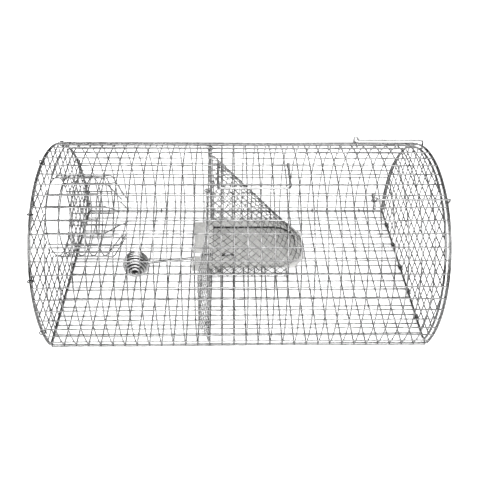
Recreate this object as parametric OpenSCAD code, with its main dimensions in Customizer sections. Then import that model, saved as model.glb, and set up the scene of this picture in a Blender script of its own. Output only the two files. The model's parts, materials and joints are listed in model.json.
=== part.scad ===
// Live catch trap: a domed cage of welded wire mesh on a flat mesh base.
// One end has a funnel entrance, the other a drop-down door with two latch hooks.
// Between the two chambers a hooded treadle tips under an animal and swings back.
// X runs along the cage towards the door, Y across it, Z up. The cage stands on Z = 0.

/* [Mesh] */
// Pitch of the square welded mesh
pitch = 12.7; // [12:0.1:13.2]
// Diameter of the mesh wire
wire_d = 1.3; // [1:0.1:1.4]
// Number of cells along the cage
cells_long = 31; // [29:2:35]
// Number of cells round the dome
dome_cells = 35; // [33:2:35]

/* [Cage] */
// Radius of the dome at the centre of its hoop wires
dome_r = 116; // [114:0.5:118]
// Diameter of the rim wire at each end of the cage
rim_d = 2; // [1.6:0.1:2]
// Diameter of the wire of the ring clips
clip_d = 1.2; // [1:0.1:1.2]

/* [Entrance funnel] */
// Radius of the funnel tube at the centre of its rings
funnel_r = 42.5; // [38:0.5:46]
// Height of the funnel's axis
funnel_z = 85.3; // [82:0.5:92]
// Number of cells along the funnel tube
funnel_cells = 4; // [3:1:4]
// Number of wires along the funnel tube, of which every second one is a finger
funnel_count = 20; // [16:2:24]

/* [Treadle] */
// Height of the middle of the platform sheet
platform_z = 41.3; // [40:0.1:43]
// Thickness of the platform and treadle sheet
sheet_t = 1; // [0.8:0.1:1.2]
// Half the width of the treadle's opening in the platform
treadle_half = 32; // [28:0.5:33]
// Diameter of the treadle's axle and of the counterweight's rod
rod_d = 3; // [2.6:0.1:3]
// Radius of the counterweight over its winding
weight_r = 14.5; // [13:0.5:14.5]

/* [Hood] */
// Radius of the hood, which is half its width
hood_r = 42; // [40:0.5:43]
// Fall of the hood's ridge for each millimetre along the cage
hood_slope = 1.14; // [1.1:0.02:1.2]
// Height above the platform at which the dome cuts the hood off
hood_h = 112; // [104:0.5:112]
// Thickness of the hood and of the partition
fine_t = 0.5; // [0.4:0.1:0.8]

/* [Door] */
// Diameter of the door's frame wire
door_wire_d = 2.4; // [2:0.1:2.6]
// Number of hinge links on the door's lower edge
link_count = 5; // [3:2:7]

/* [Handle and latches] */
// Diameter of the handle's wire
handle_d = 2.5; // [2:0.1:2.6]
// Number of cells between the handle's two legs
handle_cells = 5; // [4:1:6]
// Diameter of the latch hooks and of their pivot wires
latch_d = 2; // [1.8:0.1:2]

/* [Hidden] */
$fn = 48;

wire_r = wire_d / 2;
rim_r = rim_d / 2;
clip_r = clip_d / 2;
// Free gap between two layers of wire that are welded on the real object
weld_gap = 0.02;
layer = wire_d + weld_gap;

// Cage: its base layers, its dome and its ends
half_long = cells_long * pitch / 2;
base_z = wire_r;
cross_z = base_z + layer;
dome_step = pitch / dome_r * 180 / PI;
dome_half = dome_cells * dome_step / 2;
dome_z = base_z + layer / 2 - dome_r * cos(dome_half);
line_r = dome_r + layer;
line_half = half_long + 0.5;
rim_x = half_long + wire_r + weld_gap + rim_r;
reach_x = half_long + 4.65;
base_half_y = dome_r * sin(dome_half) - 0.75;

// Entrance end
hole_r = funnel_r + layer + wire_r + 0.15;
entrance_cells = [-15, -10, -5, 0, 5.8, 11, 16.7];
clip_ring_r = 2.7;
base_clip_cells = [-8, 8, 13];
base_clip_half = 105;

// Door: hinged on the last cross wire of the base
hinge_x = half_long;
hinge_z = cross_z;
door_wire_r = door_wire_d / 2;
door_x = half_long - 1.85;
door_z = 5;
door_r = dome_r - 2.8;
corner_r = 8;
link_w = 2.6;
link_gap = 0.07;
link_t = 1.2;

// Partition and hood. The hood is a slanting half tube that the platform cuts off.
partition_x = -33.2;
mouth_x = partition_x + fine_t / 2 + 0.1;
throat_half = 46;
throat_z = 33;
hood_z = platform_z + sheet_t / 2 + 0.05;
hood_end = 75.4;
hood_slant = sqrt(1 + hood_slope * hood_slope);
hood_stations = [mouth_x, hood_end - hood_h / hood_slope, 0, 19, 35, 50, 62, 72];
tie_cells = [-14, -8, -3, 3, 8, 14];

// Platform and treadle
sheet_low = platform_z - sheet_t / 2;
// The treadle plate lies a little below the platform's sheet
plate_drop = 1.4;
plate_low = sheet_low - plate_drop;
rod_r = rod_d / 2;
axle_x = -23;
axle_z = 34.4;
ear_w = 8;
ear_t = 1.5;
frame_ear_y = treadle_half + 2;
plate_ear_y = treadle_half - 3;
running_gap = 0.05;
edge_gap = 0.5;
opening_x = -30;
tip_x = 65.5;
tip_r = 24;
frame_half = 45;
// The sheet ends here at the front, where a shelf of fine mesh goes on to the fold
front_half = 35.5;
shelf_in = 33.5;
shelf_out = 45.6;
shelf_end = 54;
shelf_fold = 5.5;
apron_x = -52;
apron_half = 40;
lip_h = 2.5;
slot_half = 3;

// Counterweight: its rod weaves through two slots of the plate
rod_y = -15;
rod_z = plate_low - rod_r - 0.1;
weave_rise = sheet_t + rod_d + 0.2;
weave_bend = 3;
weave_run = (weave_rise - 2 * weave_bend * (1 - cos(45))) / sin(45);
weave_len = 2 * weave_bend * sin(45) + weave_run * cos(45);
weave_top = 4;
weave_x = -10.3;
rod_tail = 12;
rod_slope = 8;
rod_bend = 20;
rod_flat_end = -36;
coil_d = 3;
coil_r = weight_r - coil_d / 2;
weight_run = 80;
// Half angle that the middle turn leaves open for the rod
turn_gap = 15;
coil_turns = 9;

// Handle and latches
// Distance between an eye's bore and the wire that leaves it
eye_lift = 0.05;
handle_r = handle_d / 2;
handle_line = -dome_step / 2;
handle_gap = 0.06;
handle_seat = line_r + wire_r + handle_gap + eye_lift + handle_r;
handle_sweep = 16.5;
handle_bar_r = handle_seat + 3.3;
handle_mid_x = pitch;
handle_half = handle_cells * pitch / 2 + 3.15;
// Part of a full turn that a pivot wire's end makes round a line wire
eye_sweep = 235;
latch_r = latch_d / 2;
latch_cell = 4;
latch_x = 10 * pitch;
latch_seat = line_r + wire_r + 0.1 + latch_r;
latch_bend = 2.5;
latch_leg_end = dome_r - 4.5;

// Distance of hoop i from the middle of the cage
function hoop_x(i) = (i - cells_long / 2) * pitch;

// Half chord of a circle at a distance from its centre, or 0 outside it
function chord(radius, d) = abs(d) < radius ? sqrt(radius * radius - d * d) : 0;

// Upright section of the hood at x, set in by inset and standing on floor_y
function hood_section(x, inset, floor_y) =
    let (r = hood_r - inset,
        rise = hood_slope * (hood_end - x) - hood_slant * inset,
        side = acos(max(0, 1 - (rise - floor_y) / (hood_slant * r))),
        arch = [for (i = [-16 : 16]) let (t = i * side / 16)
            [r * sin(t), min(hood_h - inset, rise - hood_slant * r * (1 - cos(t)))]])
    concat([[-r * sin(side), floor_y]], arch, [[r * sin(side), floor_y]]);

// Outline of the treadle's opening, grown by g
function treadle_outline(g) = concat(
    [[opening_x - g, -treadle_half - g]],
    [for (i = [0 : 10]) let (t = -90 + i * 9)
        [tip_x - tip_r + (tip_r + g) * cos(t), tip_r - treadle_half + (tip_r + g) * sin(t)]],
    [for (i = [0 : 10]) let (t = i * 9)
        [tip_x - tip_r + (tip_r + g) * cos(t), treadle_half - tip_r + (tip_r + g) * sin(t)]],
    [[opening_x - g, treadle_half + g]]);

// Straight wire along X between two ends
module wire_x(from, to, r) {
    translate([from, 0, 0]) rotate([0, 90, 0]) cylinder(h = to - from, r = r);
}

// Straight wire along Y between two ends
module wire_y(from, to, r) {
    translate([0, from, 0]) rotate([-90, 0, 0]) cylinder(h = to - from, r = r);
}

// Ring of wire round the Z axis
module ring(radius, r) {
    rotate_extrude() translate([radius, 0]) circle(r = r);
}

// Arc of wire round the X axis, with angles taken from +Z towards +Y
module arc(radius, r, from, to) {
    rotate([0, -90, 0]) rotate([0, 0, from])
        rotate_extrude(angle = to - from) translate([radius, 0]) circle(r = r);
}

// Places its children on the dome at an angle from the top and a radius
module on_dome(angle, radius) {
    translate([0, 0, dome_z]) rotate([-angle, 0, 0]) translate([0, 0, radius]) children();
}

// Ball that joins two stretches of wire; it stands slightly proud of them
module knuckle(r) {
    sphere(r = 1.1 * r);
}

// Eye of a wire's end, drawn as a thick ring round the Y axis with a true bore.
// It is a little wider than the wire that leaves it.
module eye(bore, r) {
    rotate([90, 0, 0]) difference() {
        cylinder(h = 2.2 * r, r = bore + 2.1 * r, center = true);
        cylinder(h = 4 * r, r = bore, center = true);
    }
}

// Bent wire in the XZ plane, which starts along +X.
// Each step is [straight length, bend angle towards +Z, bend radius].
module bent_wire(steps, r, i = 0) {
    if (i < len(steps)) {
        run = steps[i][0];
        turn = steps[i][1];
        bend = steps[i][2];
        side = turn < 0 ? 1 : 0;
        if (run > 0) wire_x(0, run, r);
        if (i > 0) knuckle(r);
        translate([run, 0, 0]) {
            if (turn != 0 && run > 0) knuckle(r);
            if (turn != 0) mirror([0, 0, side]) translate([0, 0, bend]) rotate([90, 90, 0])
                rotate_extrude(angle = abs(turn)) translate([bend, 0]) circle(r = r);
            translate([bend * sin(abs(turn)), 0, sign(turn) * bend * (1 - cos(turn))])
                rotate([0, -turn, 0]) bent_wire(steps, r, i + 1);
        }
    }
}

// Closed D-shaped ring: an arc about the dome's axis, round corners and a flat foot
module d_ring(radius, foot_z, r) {
    dz = foot_z + corner_r - dome_z;
    y = sqrt(pow(radius - corner_r, 2) - dz * dz);
    end = atan2(y, dz);
    translate([0, 0, dome_z]) arc(radius, r, -end, end);
    for (s = [0, 1]) mirror([0, s, 0]) {
        translate([0, y, foot_z + corner_r]) arc(corner_r, r, end, 180);
        translate([0, y, foot_z]) knuckle(r);
        translate([0, 0, dome_z]) rotate([-end, 0, 0]) translate([0, 0, radius]) knuckle(r);
    }
    translate([0, 0, foot_z]) wire_y(-y, y, r);
}

// Upright wires of a D-shaped panel, left open where a round hole is
module d_uprights(radius, foot_z, hole) {
    for (i = [0 : 17]) {
        y = (i - 8.5) * pitch;
        top = dome_z + chord(radius, y);
        foot = max(foot_z, abs(y) > 100 ? foot_z + 2 * corner_r : foot_z);
        gap = chord(hole, y);
        translate([0, y, foot]) cylinder(h = (gap > 0 ? funnel_z - gap : top) - foot, r = wire_r);
        if (gap > 0)
            translate([0, y, funnel_z + gap]) cylinder(h = top - funnel_z - gap, r = wire_r);
    }
}

// Level wires of a D-shaped panel, left open where a round hole is
module d_levels(radius, foot_z, hole) {
    for (i = [1 : 11]) {
        z = foot_z + i * pitch;
        half = chord(radius, z - dome_z);
        gap = chord(hole, z - funnel_z);
        if (gap > 0) for (s = [0, 1]) mirror([0, s, 0]) translate([0, 0, z]) wire_y(gap, half, wire_r);
        if (gap == 0) translate([0, 0, z]) wire_y(-half, half, wire_r);
    }
}

module dome_line_wires() {
    color("silver") for (i = [0 : dome_cells])
        on_dome((i - dome_cells / 2) * dome_step, line_r) wire_x(-line_half, line_half, wire_r);
}

module dome_hoops() {
    color("silver") for (i = [0 : cells_long])
        translate([hoop_x(i), 0, dome_z]) arc(dome_r, wire_r, -dome_half, dome_half);
}

module base_line_wires() {
    color("silver") for (i = [0 : 17])
        translate([0, (i - 8.5) * pitch, base_z]) wire_x(-line_half, line_half, wire_r);
}

module base_cross_wires() {
    color("silver") for (i = [0 : cells_long])
        translate([hoop_x(i), 0, cross_z]) wire_y(-base_half_y, base_half_y, wire_r);
}

// Open clips that tie the base to the dome along the back edge
module base_clips() {
    clip_y = dome_r * sin(dome_half);
    color("darkgray") for (cell = base_clip_cells)
        translate([cell * pitch, clip_y, base_z + clip_r])
            arc(clip_ring_r, clip_r, -base_clip_half, base_clip_half);
}

module entrance_rim() {
    color("silver") translate([-rim_x, 0, 0]) d_ring(dome_r, rim_r + 0.05, rim_r);
}

module entrance_mesh() {
    foot_z = rim_d + 0.1;
    color("silver") {
        translate([-rim_x, 0, 0]) d_uprights(dome_r - rim_r - 0.7, foot_z, hole_r + 0.7);
        translate([layer - rim_x, 0, 0]) d_levels(dome_r - wire_d, foot_z, hole_r + 0.7);
    }
}

// Closed ring clips that tie the entrance rim to the dome's first hoop
module entrance_clips() {
    color("darkgray") for (cell = entrance_cells)
        on_dome(cell * dome_step, dome_r) translate([clip_ring_r + clip_r - reach_x, 0, 0])
            rotate([90, 0, 0]) ring(clip_ring_r, clip_r);
}

module funnel_rings() {
    color("silver") for (i = [0 : funnel_cells])
        translate([hoop_x(i), 0, funnel_z]) rotate([0, 90, 0]) ring(funnel_r, wire_r);
}

// Plain wires of the tube, which lie outside its rings
module funnel_wires() {
    color("silver") for (i = [1 : 2 : funnel_count])
        translate([0, 0, funnel_z]) rotate([i * 360 / funnel_count, 0, 0])
            translate([0, 0, funnel_r + layer])
                wire_x(-rim_x, hoop_x(funnel_cells) + 1, wire_r);
}

// Every second wire runs on and bends inwards, so the way out narrows
module funnel_fingers() {
    run = hoop_x(funnel_cells) + rim_x;
    color("silver") for (i = [0 : 2 : funnel_count - 1])
        translate([0, 0, funnel_z]) rotate([i * 360 / funnel_count, 0, 0])
            translate([-rim_x, 0, funnel_r + layer])
                bent_wire([[run, 10, 8], [3, -70, 5], [22, 0, 0]], wire_r);
}

// Fine mesh across the cage, drawn as a thin sheet, open where the hood begins
module partition_mesh() {
    color("gray") difference() {
        translate([partition_x - fine_t / 2, 0, dome_z]) rotate([0, 90, 0])
            cylinder(h = fine_t, r = dome_r - wire_r - 0.2, $fn = 96);
        translate([partition_x - 5, -150, -150]) cube([10, 300, 150 + cross_z + wire_r + 0.1]);
        translate([partition_x - 5, -throat_half, throat_z])
            cube([10, 2 * throat_half, hood_z - throat_z]);
        translate([partition_x - 5, 0, hood_z]) rotate([90, 0, 90])
            linear_extrude(10) polygon(hood_section(mouth_x, 2, -1));
    }
}

// Rings that tie the partition's edge to a hoop of the dome
module partition_ties() {
    color("darkgray") for (cell = tie_cells)
        on_dome(cell * dome_step, dome_r - 0.4) translate([partition_x + 0.7, 0, 0])
            rotate([90, 0, 0]) ring(2.3, 0.5);
}

// Solid of the hood's outside, or of its inside when inset is above 0
module hood_body(inset, floor_y, overrun) {
    hull() for (x = hood_stations)
        translate([x == mouth_x ? x - overrun : x, 0, hood_z]) rotate([90, 0, 90])
            linear_extrude(0.02) polygon(hood_section(x, inset, floor_y));
}

// Sloping tunnel of fine mesh over the treadle, drawn as a thin shell, with a shelf along its
// front foot that folds down at its edge
module hood_mesh() {
    color("lightgray") {
        difference() {
            hood_body(0, 0, 0);
            hood_body(fine_t, -1, 1);
        }
        translate([mouth_x, 0, hood_z]) rotate([90, 0, 90]) linear_extrude(shelf_end - mouth_x)
            polygon([[-shelf_in, 0], [-shelf_in, fine_t], [-shelf_out, fine_t],
                [-shelf_out, -shelf_fold], [fine_t - shelf_out, -shelf_fold],
                [fine_t - shelf_out, 0]]);
    }
}

// Two plates on the axle's line, up to top_z, with a bore that clears the axle by gap
module ears(y, gap, top_z) {
    foot_z = axle_z - 2 * rod_r;
    for (s = [-1, 1]) difference() {
        translate([axle_x - ear_w / 2, s * y - ear_t / 2, foot_z])
            cube([ear_w, ear_t, top_z - foot_z]);
        translate([axle_x, 0, axle_z]) wire_y(s * y - ear_t, s * y + ear_t, rod_r + gap);
    }
}

module platform_frame() {
    color("lightgray") {
        difference() {
            translate([0, 0, sheet_low]) linear_extrude(sheet_t)
                polygon([[apron_x, -apron_half], [-36, -apron_half], [-36, -front_half],
                    [61.2, -front_half], [73, -20], [73, 20], [54, frame_half],
                    [-36, frame_half], [-36, apron_half], [apron_x, apron_half]]);
            translate([0, 0, sheet_low - 1]) linear_extrude(sheet_t + 2)
                polygon(treadle_outline(0));
            translate([apron_x - 1, rod_y - slot_half, sheet_low - 1])
                cube([opening_x - apron_x + 2, 2 * slot_half, sheet_t + 2]);
        }
        translate([-36, frame_half - sheet_t, sheet_low - lip_h])
            cube([90, sheet_t, lip_h + sheet_t / 2]);
        ears(frame_ear_y, weld_gap, sheet_low + sheet_t / 2);
    }
}

module treadle_axle() {
    axle_half = frame_ear_y + 3;
    color("gray") translate([axle_x, 0, axle_z]) wire_y(-axle_half, axle_half, rod_r);
}

module treadle_plate() {
    slot_len = weave_len - 0.4;
    color("darkgray") {
        difference() {
            translate([0, 0, plate_low]) linear_extrude(sheet_t)
                polygon(treadle_outline(-edge_gap));
            for (x = [weave_x, weave_x - weave_top - weave_len])
                translate([x + 0.2, rod_y - rod_r - 0.3, plate_low - 1])
                    cube([slot_len, rod_d + 0.6, sheet_t + 2]);
        }
        ears(plate_ear_y, running_gap, plate_low + sheet_t / 2);
    }
}

// Bent rod from the plate to the counterweight; it lies on the plate between the slots
module counterweight_rod() {
    flat = weave_x - weave_top - weave_len - rod_flat_end;
    color("gray") translate([weave_x + weave_len + rod_tail, rod_y, rod_z]) rotate([0, 0, 180])
        bent_wire([[rod_tail, 45, weave_bend], [weave_run, -45, weave_bend],
            [weave_top, -45, weave_bend], [weave_run, 45, weave_bend],
            [flat, -rod_slope, rod_bend], [weight_run + coil_r / 2, 0, 0]], rod_r);
}

// Places its children at the counterweight's middle, with Z along the rod
module at_weight() {
    translate([rod_flat_end - rod_bend * sin(rod_slope) - weight_run * cos(rod_slope), rod_y,
        rod_z - rod_bend * (1 - cos(rod_slope)) - weight_run * sin(rod_slope)])
        rotate([0, -90 - rod_slope, 0]) children();
}

// Inner layers of the counterweight's winding
module counterweight_core() {
    color("dimgray") at_weight() difference() {
        sphere(r = coil_r - coil_d / 2 - 0.1);
        translate([0, 0, -weight_r]) cylinder(h = 2 * weight_r, r = rod_r + weld_gap);
    }
}

// Outer turns of the counterweight's winding, round the Y axis.
// The middle turn is open where the rod goes in.
module counterweight_coil() {
    side_turns = (coil_turns - 1) / 2;
    color("gray") at_weight() rotate([90, 0, 0]) for (i = [-side_turns : side_turns]) {
        s = i * (coil_d + weld_gap);
        gap = i == 0 ? turn_gap : 0;
        translate([0, 0, s]) rotate([0, 0, gap - 90]) rotate_extrude(angle = 360 - 2 * gap)
            translate([sqrt(coil_r * coil_r - s * s), 0]) circle(r = coil_d / 2);
    }
}

module door_end_rim() {
    color("silver") translate([rim_x, 0, dome_z]) arc(dome_r, rim_r, -109, 109);
}

module door_frame() {
    color("gray") translate([door_x, 0, 0]) d_ring(door_r, door_z, door_wire_r);
}

module door_mesh() {
    inner_r = door_r - door_wire_r - 0.7;
    color("silver") {
        translate([door_x, 0, 0]) d_uprights(inner_r, door_z + door_wire_r + 0.05, 0);
        translate([door_x + layer, 0, 0]) d_levels(inner_r, door_z, 0);
    }
}

// Links that hang the door on the last cross wire of the base
module door_hinge_links() {
    module hole_pair(r1, r2) {
        translate([hinge_x, 0, hinge_z]) wire_y(-link_w, link_w, r1);
        translate([door_x, 0, door_z]) wire_y(-link_w, link_w, r2);
    }
    color("gray") for (i = [0 : link_count - 1])
        translate([0, (i - (link_count - 1) / 2) * 3 * pitch, 0]) difference() {
            intersection() {
                hole_pair(wire_r + link_t, door_wire_r + link_t);
                translate([hinge_x - 10, -link_w / 2, 0]) cube([20, link_w, 20]);
            }
            hole_pair(wire_r + link_gap, door_wire_r + weld_gap);
        }
}

// Short wire across two line wires of the dome, with an eye round each of them
module latch_pivot() {
    span = line_r * sin(dome_step / 2);
    drop = latch_seat - line_r * cos(dome_step / 2);
    translate([latch_x, 0, 0]) on_dome(0, 0) {
        translate([0, 0, latch_seat]) wire_y(-span, span, latch_r);
        for (s = [0, 1]) mirror([0, s, 0]) {
            translate([0, span, latch_seat]) knuckle(latch_r);
            translate([0, span, latch_seat - drop]) arc(drop, latch_r, 0, eye_sweep);
        }
    }
}

module latch_pivots() {
    color("gray") for (s = [-1, 1])
        translate([0, 0, dome_z]) rotate([-s * latch_cell * dome_step, 0, 0])
            translate([0, 0, -dome_z]) latch_pivot();
}

// Hook with an eye on the pivot wire and a leg in front of the door's frame
module latch_hook(side) {
    rise = latch_r + running_gap + eye_lift + latch_r;
    leg_x = reach_x - latch_r;
    leg = latch_seat + rise - latch_bend - latch_leg_end;
    color("gray") on_dome(side * latch_cell * dome_step, latch_seat) translate([latch_x, 0, 0]) {
        eye(latch_r + running_gap, latch_r);
        translate([0, 0, rise])
            bent_wire([[leg_x - latch_x - latch_bend, -90, latch_bend], [leg, 0, 0]], latch_r);
    }
}

module front_latch_hook() {
    latch_hook(-1);
}

module back_latch_hook() {
    latch_hook(1);
}

// Carrying handle, which turns on a line wire at the top and lies along the dome
module handle_bail() {
    bar_y = -handle_bar_r * sin(handle_sweep);
    bar_z = handle_bar_r * cos(handle_sweep) - handle_seat;
    leg = norm([bar_y, bar_z]);
    color("gray") on_dome(handle_line, 0) translate([handle_mid_x, 0, 0]) {
        translate([0, bar_y, handle_seat + bar_z]) wire_x(-handle_half, handle_half, handle_r);
        for (s = [-1, 1]) translate([s * handle_half, 0, 0]) {
            translate([0, bar_y, handle_seat + bar_z]) rotate([0, 0, -90]) knuckle(handle_r);
            translate([0, 0, handle_seat]) rotate([asin(-bar_z / leg), 0, 0])
                wire_y(-leg, 0, handle_r);
            translate([0, 0, line_r]) rotate([0, 0, 90]) eye(wire_r + handle_gap, handle_r);
        }
    }
}

dome_line_wires();
dome_hoops();
base_line_wires();
base_cross_wires();
base_clips();
entrance_rim();
entrance_mesh();
entrance_clips();
funnel_rings();
funnel_wires();
funnel_fingers();
partition_mesh();
partition_ties();
hood_mesh();
platform_frame();
treadle_axle();
treadle_plate();
counterweight_rod();
counterweight_core();
counterweight_coil();
door_end_rim();
door_frame();
door_mesh();
door_hinge_links();
latch_pivots();
front_latch_hook();
back_latch_hook();
handle_bail();
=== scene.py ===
"""Looks of the live catch trap: each wire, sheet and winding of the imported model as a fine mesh.

Lengths are millimetres until a mesh is made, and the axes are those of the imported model:
X along the cage towards the door, Y across it, Z up.
"""
import json
import math

import bmesh
import bpy
import numpy as np
from mathutils import Matrix, Vector


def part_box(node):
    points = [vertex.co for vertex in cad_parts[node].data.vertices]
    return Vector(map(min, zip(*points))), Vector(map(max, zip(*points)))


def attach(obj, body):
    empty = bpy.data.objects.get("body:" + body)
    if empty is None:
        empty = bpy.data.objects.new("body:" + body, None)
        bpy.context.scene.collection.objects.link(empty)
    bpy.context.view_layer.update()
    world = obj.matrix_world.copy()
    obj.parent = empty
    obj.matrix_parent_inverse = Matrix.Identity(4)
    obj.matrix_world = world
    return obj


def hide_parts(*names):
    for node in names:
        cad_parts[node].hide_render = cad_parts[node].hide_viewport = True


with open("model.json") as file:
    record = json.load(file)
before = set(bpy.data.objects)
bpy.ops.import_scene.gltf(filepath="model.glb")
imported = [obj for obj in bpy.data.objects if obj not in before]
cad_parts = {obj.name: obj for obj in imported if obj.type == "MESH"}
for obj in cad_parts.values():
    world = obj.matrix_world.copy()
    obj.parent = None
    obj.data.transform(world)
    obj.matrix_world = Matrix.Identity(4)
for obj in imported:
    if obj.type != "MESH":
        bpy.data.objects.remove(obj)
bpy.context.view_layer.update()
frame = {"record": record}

MM = 0.001
PLAY = 0.1
RECORD = frame["record"]
BODY_OF = {node: body for body, nodes in RECORD["behaviour"]["bodies"].items() for node in nodes}
SLOT_OF = {row["node"]: row["material_slot"] for row in RECORD["subparts"]}
X_AXIS = np.array([1.0, 0.0, 0.0])
Y_AXIS = np.array([0.0, 1.0, 0.0])
Z_AXIS = np.array([0.0, 0.0, 1.0])


def box_mm(node):
    """Lowest and highest corner of a CAD node, in millimetres."""
    low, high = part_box(node)
    return np.array(low) / MM, np.array(high) / MM


def middle_mm(node):
    """Middle of a CAD node's box, in millimetres."""
    return sum(box_mm(node)) / 2


# Welded mesh
PITCH = 12.7
WIRE_R = 0.65
WELD_GAP = 0.02
LAYER = 2 * WIRE_R + WELD_GAP
CELLS_LONG = 31
DOME_CELLS = 35
BASE_LINES = 18
HALF_LONG = CELLS_LONG * PITCH / 2
SWAY = 0.22
WELD_SPREAD = 0.85
WELD_HEIGHT = 0.4

# Cage
DOME_R = 116.0
LINE_R = DOME_R + LAYER
DOME_STEP = PITCH / DOME_R
DOME_HALF = DOME_CELLS * DOME_STEP / 2
DOME_Z = box_mm("dome_hoops")[1][2] - DOME_R - WIRE_R
LINE_HALF = box_mm("dome_line_wires")[1][0]
RIM_R = 1.0
RIM_X = box_mm("entrance_rim")[0][0] + RIM_R
RIM_LIFT = 0.05
RIM_REACH = 109.0
CROSS_Z = WIRE_R + LAYER
CORNER_R = 8.0
PANEL_ROWS = 11
PANEL_CORNER_Y = 100.0
PANEL_SAG = 0.25
PANEL_STEP = 4

# Clips and ties
CLIP_RING_R = 2.7
CLIP_R = 0.6
ENTRANCE_CELLS = (-15, -10, -5, 0, 5.8, 11, 16.7)
BASE_CLIP_CELLS = (-8, 8, 13)
TIE_CELLS = (-14, -8, -3, 3, 8, 14)
TIE_RING_R = 2.3
TIE_R = 0.5
TIE_SHIFT = 0.7
TIE_DROP = 0.4

# Entrance funnel
FUNNEL_R = 42.5
FUNNEL_Z = middle_mm("funnel_rings")[2]
FUNNEL_CELLS = 4
FUNNEL_COUNT = 20
FINGER_TIP = 22.0
HOLE_GAP = 0.4
HOLE_R = FUNNEL_R + LAYER + WIRE_R + HOLE_GAP

# Partition and hood
PARTITION_X = middle_mm("partition_mesh")[0]
HOOD_R = 41.6
HOOD_SLOPE = 1.14
HOOD_END = 75.4
HOOD_H = 112
HOOD_LIFT = 0.05
HOOD_Z = box_mm("platform_frame")[1][2] + HOOD_LIFT
HOOD_GAP = 0.9
HOOD_UNDER_DOME = DOME_R - 1.5
HOOD_T_RANGE = (-175, 60)
HOOD_W_RANGE = (-130, 130)
PARTITION_TOP_R = DOME_R - WIRE_R - 0.5
PARTITION_LOW = CROSS_Z + WIRE_R + 0.4
PARTITION_Y_RANGE = (-118, 118)
PARTITION_Z_RANGE = (0, 160)
THROAT_HALF = 46.0
THROAT_Z = 33.0
BOW = 8.5
BOW_Y = -48
BOW_TOP = 140
BOW_EASE_Y = 45
BOW_EASE_Z = 50
FINE_CELL = 6.35
PARTITION_CELL = 4.3
FINE_R = 0.32
FINE_SIDES = 6

# Platform and treadle
SHEET_T = 1.0
SHEET_BEVEL = 0.2
SHEET_TOP = HOOD_Z - HOOD_LIFT
SHEET_LOW = SHEET_TOP - SHEET_T
PLATE_LOW = box_mm("treadle_plate")[1][2] - SHEET_T
ROD_R = 1.5
AXLE_X, _, AXLE_Z = middle_mm("treadle_axle")
EAR_W = 8.0
EAR_T = 1.5
EAR_CORNER = 2
EAR_BEVEL = 0.1
FRAME_EAR_FIT = 0.02
FRAME_EAR_SHIFT = 2
TREADLE_EAR_FIT = 0.05
TREADLE_EAR_SHIFT = -3
TREADLE_HALF = 32.0
TREADLE_GAP = 0.5
OPENING_X = -30.0
TIP_X = 65.5
TIP_R = 24.0
# Upright strip of painted shade under the far edge of the treadle's opening: thickness, depth below
# the sheet and offset out from the opening
SHADE_STRIP_T = 0.7
SHADE_STRIP_DROP = 2.4
SHADE_STRIP_OUT = 0.25
FRAME_HALF = 45.0
FRAME_END = 73
FRAME_END_HALF = 20
FRAME_FRONT_X = 61.2
APRON_X = -52.0
APRON_HALF = 40.0
LIP_X = (-36.0, 54.0)
LIP_H = 2.5
FRONT_HALF = 35.5
SHELF_IN = 33.9
SHELF_OUT = 45.2
SHELF_FOLD = 5.1
SHELF_X_RANGE = (-40, 60)
SHELF_V_RANGE = (-14, 8)
ROD_Y = -15.0
SLOT_HALF = 3.0
SLOT_PLAY = 0.3
SLOT_TRIM = 0.2

# Weave of the counterweight's rod through the two slots of the plate, from its tail on
WEAVE_BEND = 3.0
WEAVE_TURN = math.pi / 4
WEAVE_RISE = SHEET_T + 2 * ROD_R + 0.2
WEAVE_RUN = (WEAVE_RISE - 2 * WEAVE_BEND * (1 - math.cos(WEAVE_TURN))) / math.sin(WEAVE_TURN)
WEAVE_LEN = (2 * WEAVE_BEND + WEAVE_RUN) * math.sin(WEAVE_TURN)
WEAVE_TOP = 4.0
WEAVE_X = -10.3
ROD_TAIL = 12.0
ROD_SLOPE = 8.0
ROD_FLAT_END = -36.0
ROD_BEND = 20

# Counterweight
WEIGHT = middle_mm("counterweight_core")
COIL_R = 13.7
COIL_WIRE_R = 1.3
COIL_TURNS = 11
COIL_REACH = math.radians(80)
COIL_PART = 1.55
COIL_PART_ANGLE = 0.55
COIL_STEPS = 28
# Radius of the inner layer of turns, drawn in painted shade
CORE_R = 10.2

# Door
DOOR_WIRE_R = 1.2
DOOR_X = box_mm("door_frame")[0][0] + DOOR_WIRE_R
DOOR_Z = 5.0
DOOR_R = DOME_R - 2.8
LINK_COUNT = 5
LINK_TURNS = 4
LINK_R = 0.6
LINK_TURN_STEP = 2.05 * LINK_R

# Handle and latches
HANDLE_R = 1.25
HANDLE_LINE = -DOME_STEP / 2
HANDLE_PLAY = 0.11
HANDLE_SEAT = LINE_R + WIRE_R + HANDLE_PLAY + HANDLE_R
HANDLE_SWEEP = math.radians(16.5)
HANDLE_HALF = 2.5 * PITCH + 3.15
HANDLE_RISE = 3.3
HANDLE_BEND = 4.0
HANDLE_LOOP = 285
LATCH_R = 1.0
LATCH_CELL = 4
LATCH_X = 10 * PITCH
LATCH_SEAT = LINE_R + WIRE_R + PLAY + LATCH_R
LATCH_LEG_END = DOME_R - 4.5
LATCH_NOOK = 1.2
LATCH_BEND = 2.5
PIVOT_LOOP = 235

# Places where a moving piece turns on a wire of the dome, which stays straight there
CALM_SPOTS = [
    (PITCH - HANDLE_HALF, HANDLE_LINE),
    (PITCH + HANDLE_HALF, HANDLE_LINE),
    (LATCH_X, -LATCH_CELL * DOME_STEP),
    (LATCH_X, LATCH_CELL * DOME_STEP),
]
CALM_REACH = 18.0

# Camera at the original view: place in metres, angles in radians
CAMERA_PLACE = (-0.01305, -0.45148, 0.4737)
CAMERA_YAW, CAMERA_PITCH, CAMERA_ROLL = 0.0316, 0.75377, 0.01981
CAMERA_LENS_MM = 40.692
CAMERA_SENSOR_MM = 36

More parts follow.
